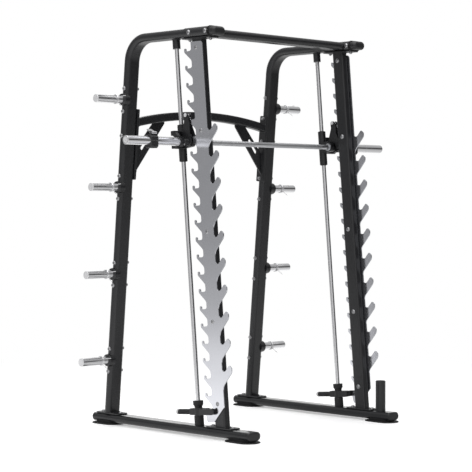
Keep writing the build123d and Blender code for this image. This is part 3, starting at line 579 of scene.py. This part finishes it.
def spring_clip(side, name, number):
    points = [rear_point(p.x - CLIP_OUT[name], p.y, HORN_UP[number - 1] + p.z, side)
              for p in clip_path()]
    radii = [WIRE_R * 0.55] + [WIRE_R] * len(points) + [WIRE_R * 0.55]
    # a short taper past each tip
    points.insert(0, points[0] + (points[0] - points[1]).normalized() * 0.0012)
    points.append(points[-1] + (points[-1] - points[-2]).normalized() * 0.0012)
    bm = bmesh.new()
    wire(bm, points, radii, 12)
    piece(f"{name}_wire_clip_{number}", bm, "chrome_wire", f"{name}_clip_{number}",
          f"{name}_spring_clip_{number}")


for side, name in SIDES:
    for number in range(1, 5):
        spring_clip(side, name, number)

# ------------------------------------------------------------------ welds
PUDDLE_PITCH = 0.0048
BRACE_Z = 1.855 - 0.187 * 0.544 ** 2            # brace's centre at its end plate
BRACE_Y = upright_y(1.855 - 0.028)


def bead(bm, points, radius=0.0032, closed=True):
    """Weld bead: a ripple of overlapping puddles, four rings each, along the path."""
    spans = list(zip(points, points[1:] + points[:1] if closed else points[1:]))
    total = sum((b - a).length for a, b in spans)
    n = max(8, int(total / PUDDLE_PITCH) * 4)
    path, radii = [], []
    step = total / n
    current, used = 0, 0.0
    for i in range(n if closed else n + 1):
        want = i * step
        a, b = spans[current]
        while current < len(spans) - 1 and used + (b - a).length < want:
            used += (b - a).length
            current += 1
            a, b = spans[current]
        share = (want - used) / max(1e-9, (b - a).length)
        path.append(a.lerp(b, min(1.0, max(0.0, share))))
        phase = (i % 4) / 4.0
        puddle = 0.14 * math.sin(math.pi * (0.15 + 0.85 * phase))
        radii.append(radius * (0.86 + puddle + 0.05 * math.sin(i * 0.37)))
    wire(bm, path, radii, 8, closed)


def oval_outline(half_w, half_h):
    """Flat oval, long along its first coordinate."""
    straight = half_w - half_h
    outline = []
    for k in range(56):
        a = 2 * math.pi * k / 56
        x, y = half_h * math.cos(a), half_h * math.sin(a)
        outline.append((x + (straight if x > 0 else -straight), y))
    return outline


def box_outline(half_x, half_y, radius):
    """Rectangle with rounded corners, six steps to a corner."""
    outline = []
    for sx, sy, start in ((1, 1, 0), (-1, 1, 90), (-1, -1, 180), (1, -1, 270)):
        for k in range(7):
            a = math.radians(start + 90.0 * k / 6)
            outline.append((sx * (half_x - radius) + radius * math.cos(a),
                            sy * (half_y - radius) + radius * math.sin(a)))
    return outline


def frame_welds(side, name):
    """Level beads at the foot and head of the post and at the foot of the upright."""
    post, upright = box_outline(0.0262, 0.0412, 0.0125), oval_outline(0.0512, 0.0262)
    foot, head = BASE_TOP + 0.0075, POST_TOP_Z - 0.0005
    bm = bmesh.new()
    for outline, axis_y, z, lean_cos in ((post, post_y, foot, FRONT_COS),
                                         (post, post_y, head, FRONT_COS),
                                         (upright, upright_y, foot, REAR_COS)):
        bead(bm, [Vector((side * HALF_W + x, axis_y(z) + back / lean_cos, z))
                  for x, back in outline])
    piece(f"{name}_frame_welds", bm, "frame_powder", "frame")


def boss_welds(side, name):
    """Arcs above and below each horn boss, laid on the upright's round outer end."""
    bm = bmesh.new()
    for horn in HORN_UP:
        for above in (-1, 1):
            path = []
            for i in range(17):
                y = -0.0238 + 0.0476 * i / 16
                path.append(rear_point(-0.025 - math.sqrt(0.0255 ** 2 - y * y), y,
                                       horn + above * math.sqrt(0.0364 ** 2 - y * y), side))
            bead(bm, path, 0.0028, closed=False)
    piece(f"{name}_boss_welds", bm, "frame_powder", "frame")


def socket_weld(side, name):
    """Bead round the rod's top socket, just under the sleeve."""
    z = SLEEVE_Z - SLEEVE_HALF_H - 0.001
    up = (z + ROD_BACK * FRONT_SIN) / FRONT_COS
    centre = front_point(0, ROD_BACK, up, side)
    angles = [2 * math.pi * k / 40 for k in range(40)]
    bm = bmesh.new()
    bead(bm, [centre + 0.0232 * Vector((math.cos(a), math.sin(a), 0)) for a in angles], 0.0024)
    piece(f"{name}_socket_weld", bm, "frame_powder", "frame")


def brace_welds(side, name):
    """Bead round the brace at its end plate, and two upright beads on the gusset below."""
    bm = bmesh.new()
    bead(bm, [Vector((side * 0.5432, BRACE_Y + a, BRACE_Z + b))
              for a, b in box_outline(0.0258, 0.0258, 0.0085)])
    for offset in (0.012, 0.004):
        bead(bm, [Vector((side * 0.5425, BRACE_Y + offset, z))
                  for z in (1.505, 1.54, 1.58, 1.628)], 0.0026, closed=False)
    piece(f"{name}_brace_welds", bm, "frame_powder", "frame")


for side, name in SIDES:
    frame_welds(side, name)
    boss_welds(side, name)
    socket_weld(side, name)
    brace_welds(side, name)

# ------------------------------------------------------------------ stop grips
STOP_UP = 0.154
RIB_START, RIB_PITCH, RIB_COUNT = 0.0640, 0.0064, 14
# all profiles: distance along the axis, radius
RIB = ((0, 0.0150), (0.0010, 0.0136), (0.0022, 0.0136), (0.0032, 0.0150), (0.0052, 0.0152))
GRIP_START = [(0.0595, 0.0), (0.0595, 0.0092), (0.0595, 0.0140), (0.0610, 0.0150)]
GRIP_END = [(0.1575, 0.0152), (0.1585, 0.0146), (0.1585, 0.0)]
TIP_PROFILE = [(0.1580, 0.0), (0.1580, 0.0150), (0.1600, 0.0154), (0.1712, 0.0150),
               (0.1735, 0.0128), (0.1740, 0.0100), (0.1730, 0.0060), (0.1728, 0.0)]


def stop_grip(side, name):
    """Ribbed grip reaching back from the stop, with its pale tip."""
    origin = front_point(0, ROD_BACK, STOP_UP, side)
    ribs = [(RIB_START + RIB_PITCH * i + x, r) for i in range(RIB_COUNT) for x, r in RIB]
    bm = bmesh.new()
    lathe(bm, origin, FRONT_BACK, GRIP_START + ribs + GRIP_END, 40)
    piece(f"{name}_stop_grip_ribbed", bm, "rubber_bumper", f"{name}_stop", f"{name}_stop_grip")
    bm = bmesh.new()
    lathe(bm, origin, FRONT_BACK, TIP_PROFILE, 40)
    piece(f"{name}_stop_grip_tip", bm, "rubber_tip", f"{name}_stop")


for side, name in SIDES:
    stop_grip(side, name)

# ------------------------------------------------------------------ seals and the painted shade at the cap's joint
# section of the near-black ring that paints the shaded gap at the cap: width, height and y of each
# flat-oval loop
CAP_GAP_SHADE = (
    (0.104, 0.050, -0.3425), (0.1145, 0.0595, -0.3425), (0.1160, 0.0610, -0.3413),
    (0.1160, 0.0610, -0.3370), (0.1145, 0.0595, -0.3358), (0.104, 0.050, -0.3358),
)
# section of the wiper: distance out from the carriage sleeve, radius
WIPER_PROFILE = [(-0.0012, 0.0135), (-0.0012, 0.0186), (0.0016, 0.0186), (0.0022, 0.0178),
                 (0.0022, 0.0150), (0.0036, 0.0133), (0.0020, 0.01285)]
CARRIAGE_ENDS = ((1.788, 1), (1.580, -1))       # height up the rod, direction faced


def cap_gap_shade(side, name):
    """Near-black ring painting the shade in the gap between the top sleeve and its end cap."""
    bm = bmesh.new()
    loops = []
    for width, height, y in CAP_GAP_SHADE:
        r = height / 2
        loop = []
        for end, start in ((1, -90), (-1, 90)):
            for k in range(17):
                a = math.radians(start + 180 * k / 16)
                x = side * HALF_W + end * (width / 2 - r) + r * math.cos(a)
                loop.append(bm.verts.new((x, y, SLEEVE_Z + r * math.sin(a))))
        loops.append(loop)
    for a, b in zip(loops, loops[1:] + loops[:1]):
        bridge(bm, a, b)
    piece(f"{name}_cap_gap_shade", bm, "gap_shade_black", "frame")


def carriage_seals(side, name):
    """Wiper seals at both ends of the carriage sleeve."""
    bm = bmesh.new()
    for up, facing in CARRIAGE_ENDS:
        lathe(bm, front_point(0, ROD_BACK, up, side), FRONT_UP * facing, WIPER_PROFILE, 44)
    piece(f"{name}_carriage_seals", bm, "rubber_bumper", "carriages")


for side, name in SIDES:
    cap_gap_shade(side, name)
for side, name in SIDES:
    carriage_seals(side, name)

# ------------------------------------------------------------------ bar
KNURL_ZONES = ((0.075, 0.350), (0.361, 0.520))  # distances from the bar's middle
KNURL_SEGS, KNURL_PITCH = 84, 0.00115
KNURL_R, KNURL_END_R = 0.01508, 0.01496
SLEEVE_END_X = 1.090
DISC_PROFILE = [(-0.004, 0.0), (-0.004, 0.0185), (-0.0006, 0.0190), (0.0004, 0.0180), (0.0004, 0.0)]


def knurl(bm, x0, x1):
    """Fine diamond pattern standing on the shaft; every other row is turned half a step."""
    rows = int((x1 - x0) / KNURL_PITCH)
    prev = None
    for i in range(rows + 1):
        x = x0 + (x1 - x0) * i / rows
        row = []
        for k in range(KNURL_SEGS):
            a = 2 * math.pi * (k + 0.5 * (i % 2)) / KNURL_SEGS
            r = KNURL_R + 0.00022 * (i % 2) + 0.00014 * ((k + i // 2) % 2)
            if i in (0, rows):
                r = KNURL_END_R
            row.append(bm.verts.new((x, BAR_CENTRE.y + r * math.cos(a),
                                     BAR_CENTRE.z + r * math.sin(a))))
        if prev:
            for k in range(KNURL_SEGS):
                j = (k + 1) % KNURL_SEGS
                if i % 2:
                    bm.faces.new((prev[k], prev[j], row[k]))
                    bm.faces.new((prev[j], row[j], row[k]))
                else:
                    bm.faces.new((prev[k], row[j], row[k]))
                    bm.faces.new((prev[k], prev[j], row[j]))
        prev = row


def bar_knurling():
    bm = bmesh.new()
    for side, _ in SIDES:
        for zone in KNURL_ZONES:
            knurl(bm, *sorted(side * x for x in zone))
    piece("bar_knurling", bm, "bar_knurled", "bar", smooth=False)


def sleeve_end_disc(side, name):
    """Disc in the outer end of the bar sleeve."""
    bm = bmesh.new()
    centre = (side * SLEEVE_END_X, BAR_CENTRE.y, BAR_CENTRE.z)
    lathe(bm, centre, (side, 0, 0), DISC_PROFILE, 48)
    piece(f"{name}_sleeve_end_disc", bm, "cap_satin", "bar")


bar_knurling()
for side, name in SIDES:
    sleeve_end_disc(side, name)

# ------------------------------------------------------------------ floor
FLOOR_RINGS = (1.0, 2.0, 3.0, 4.0, 6.0, 9.0, 14.0, 24.0, 40.0)
FLOOR_SEGS = 96
# floor as metals reflect it, dimmed near the centre as a painted shadow of the machine: share of
# the floor's radius, brightness
FLOOR_TONES = [(0.0, 0.62), (0.018, 0.72), (0.032, 1.16), (0.05, 1.28), (0.09, 1.04),
               (0.14, 1.0), (0.234, 0.57), (0.33, 0.54), (0.59, 0.49), (1.0, 0.38)]


def floor_material():
    """Pale floor that fades to white with distance, with its own painted look in reflections."""
    mat = bpy.data.materials.new("studio_floor")
    mat.use_nodes = True
    g = Graph(mat.node_tree)
    near = g.node("ShaderNodeBsdfPrincipled", {
        "Base Color": (0.90, 0.90, 0.90, 1), "Roughness": 0.32, "Specular IOR Level": 0.22,
        "Emission Color": (1, 1, 1, 1), "Emission Strength": 0.26}).outputs[0]
    at = g.geometry("Position")
    away = g.vector_math("LENGTH", at)["Value"]
    far = g.fade(away, start=1.3, end=4.2)
    white = g.node("ShaderNodeEmission", {"Color": (1, 1, 1, 1), "Strength": 1.0}).outputs[0]
    plain = g.node("ShaderNodeMixShader", {0: far, 1: near, 2: white}).outputs[0]
    glossy = g.node("ShaderNodeLightPath").outputs["Is Glossy Ray"]
    tone = g.ramp(g.math("DIVIDE", away, FLOOR_RINGS[-1], clamp=True), FLOOR_TONES)
    # painted shade in reflections: darker toward the viewer's right
    toward = g.vector_math("NORMALIZE", at)["Vector"]
    right = g.dot(toward, (0.701, -0.713, 0.0))
    dim = g.fade(right, start=0.25, end=0.80, to=(1.0, 0.60))
    reflected = g.node("ShaderNodeEmission", {"Color": tone, "Strength": dim}).outputs[0]
    surface = g.node("ShaderNodeMixShader", {0: glossy, 1: plain, 2: reflected}).outputs[0]
    g.node("ShaderNodeOutputMaterial", {"Surface": surface})
    return mat


def studio_floor():
    bm = bmesh.new()
    prev = [bm.verts.new((0, 0, 0))]
    for r in FLOOR_RINGS:
        angles = [2 * math.pi * i / FLOOR_SEGS for i in range(FLOOR_SEGS)]
        cur = [bm.verts.new((r * math.cos(a), r * math.sin(a), 0)) for a in angles]
        for i in range(FLOOR_SEGS):
            j = (i + 1) % FLOOR_SEGS
            if len(prev) == 1:
                bm.faces.new((prev[0], cur[i], cur[j]))
            else:
                bm.faces.new((prev[i], cur[i], cur[j], prev[j]))
        prev = cur
    mesh = bpy.data.meshes.new("studio_floor")
    bm.to_mesh(mesh)
    bm.free()
    obj = bpy.data.objects.new("studio_floor", mesh)
    bpy.context.scene.collection.objects.link(obj)
    mesh.materials.append(floor_material())


studio_floor()

# ------------------------------------------------------------------ world
scene = bpy.context.scene
VIEW_AHEAD = (0.7132, 0.7010, 0.0)
VIEW_RIGHT = (0.7010, -0.7132, 0.0)
# round the horizon: 0.5 ahead, 0.75 right, 0.25 left, 0 and 1 behind the viewer; then brightness
RING_LOOK = [(0.0, 0.80), (0.07, 0.84), (0.13, 0.60), (0.19, 0.36), (0.31, 0.36), (0.36, 0.66),
             (0.42, 0.82), (0.57, 0.82), (0.61, 0.50), (0.66, 0.05), (0.82, 0.05),
             (0.875, 0.60), (0.93, 0.85), (1.0, 0.80)]
RING_FILL = [(0.0, 0.62), (0.08, 0.95), (0.30, 1.0), (0.50, 0.95), (0.60, 0.55), (0.70, 0.30),
             (0.90, 0.25), (1.0, 0.62)]
# by height: 0 straight down, 0.5 the horizon, 1 straight up; then weight or brightness
BAND_WEIGHT = [(0.0, 0.0), (0.40, 0.0), (0.48, 1.0), (0.60, 1.0), (0.72, 0.25), (1.0, 0.0)]
DOME_LOOK = [(0.0, 0.80), (0.48, 0.80), (0.52, 0.55), (0.70, 0.50), (1.0, 0.72)]
FILL_WEIGHT = [(0.45, 0.15), (0.55, 0.85), (0.75, 0.60), (1.0, 0.0)]


def studio_world():
    """White to the camera.

    Metals see a pale room with a dark flag to the viewer's right and a grey one to the left;
    diffuse surfaces get a softer fill, dimmer on the right.
    """
    world = bpy.data.worlds.new("studio")
    scene.world = world
    world.use_nodes = True
    g = Graph(world.node_tree)
    ray = g.node("ShaderNodeTexCoord").outputs["Generated"]
    ray_z = g.node("ShaderNodeSeparateXYZ", {"Vector": ray}).outputs[2]
    ahead = g.dot(ray, VIEW_AHEAD)
    right = g.dot(ray, VIEW_RIGHT)
    angle = g.math("ARCTAN2", right, ahead)
    around = g.math("MULTIPLY_ADD", angle, 1 / (2 * math.pi), 0.5)
    ring_look = g.ramp(around, RING_LOOK)
    height = g.math("MULTIPLY_ADD", ray_z, 0.5, 0.5)
    band = g.ramp(height, BAND_WEIGHT, "EASE")
    look = g.mix(band, g.ramp(height, DOME_LOOK), ring_look)
    ring_fill = g.ramp(around, RING_FILL)
    fill = g.mix(g.ramp(height, FILL_WEIGHT), (0.82, 0.82, 0.83), ring_fill)
    paths = g.node("ShaderNodeLightPath").outputs
    soft = g.mix(paths["Is Diffuse Ray"], look, fill)
    seen = g.mix(paths["Is Camera Ray"], soft, (1.0, 1.0, 1.0))
    background = g.node("ShaderNodeBackground", {"Color": seen, "Strength": 1.0})
    g.node("ShaderNodeOutputWorld", {"Surface": background.outputs[0]})


studio_world()


# ------------------------------------------------------------------ lights and camera
def area(name, location, target, size, energy):
    """Square area light aimed at the target."""
    light = bpy.data.lights.new(name, "AREA")
    light.shape = "RECTANGLE"
    light.size = light.size_y = size
    light.energy = energy
    obj = bpy.data.objects.new(name, light)
    obj.location = location
    aim = Vector(target) - Vector(location)
    obj.rotation_euler = aim.to_track_quat("-Z", "Y").to_euler()
    scene.collection.objects.link(obj)
    return obj


area("top_soft", location=(-0.6, -0.8, 5.2), target=(0, 0, 0.6), size=5.0, energy=150)
key = area("left_key", location=(-7.0, -0.2, 2.8), target=(0, 0, 1.1), size=2.6, energy=120)
key.visible_glossy = False
area("rear_rim", location=(2.5, 5.5, 3.6), target=(0, 0, 1.3), size=2.6, energy=30)

camera = bpy.data.cameras.new("cam")
camera.sensor_width = 36.0
camera.lens = 124.2
camera.clip_start, camera.clip_end = 0.1, 200
camera_object = bpy.data.objects.new("cam", camera)
camera_object.location = (-7.0291, -6.8248, 1.3151)
camera_object.rotation_euler = (math.radians(90 - 1.128), 0.0, math.radians(-45.506))
scene.collection.objects.link(camera_object)
scene.camera = camera_object
scene.view_settings.view_transform = "Standard"
scene.view_settings.look = "None"
scene.view_settings.exposure = 0.0
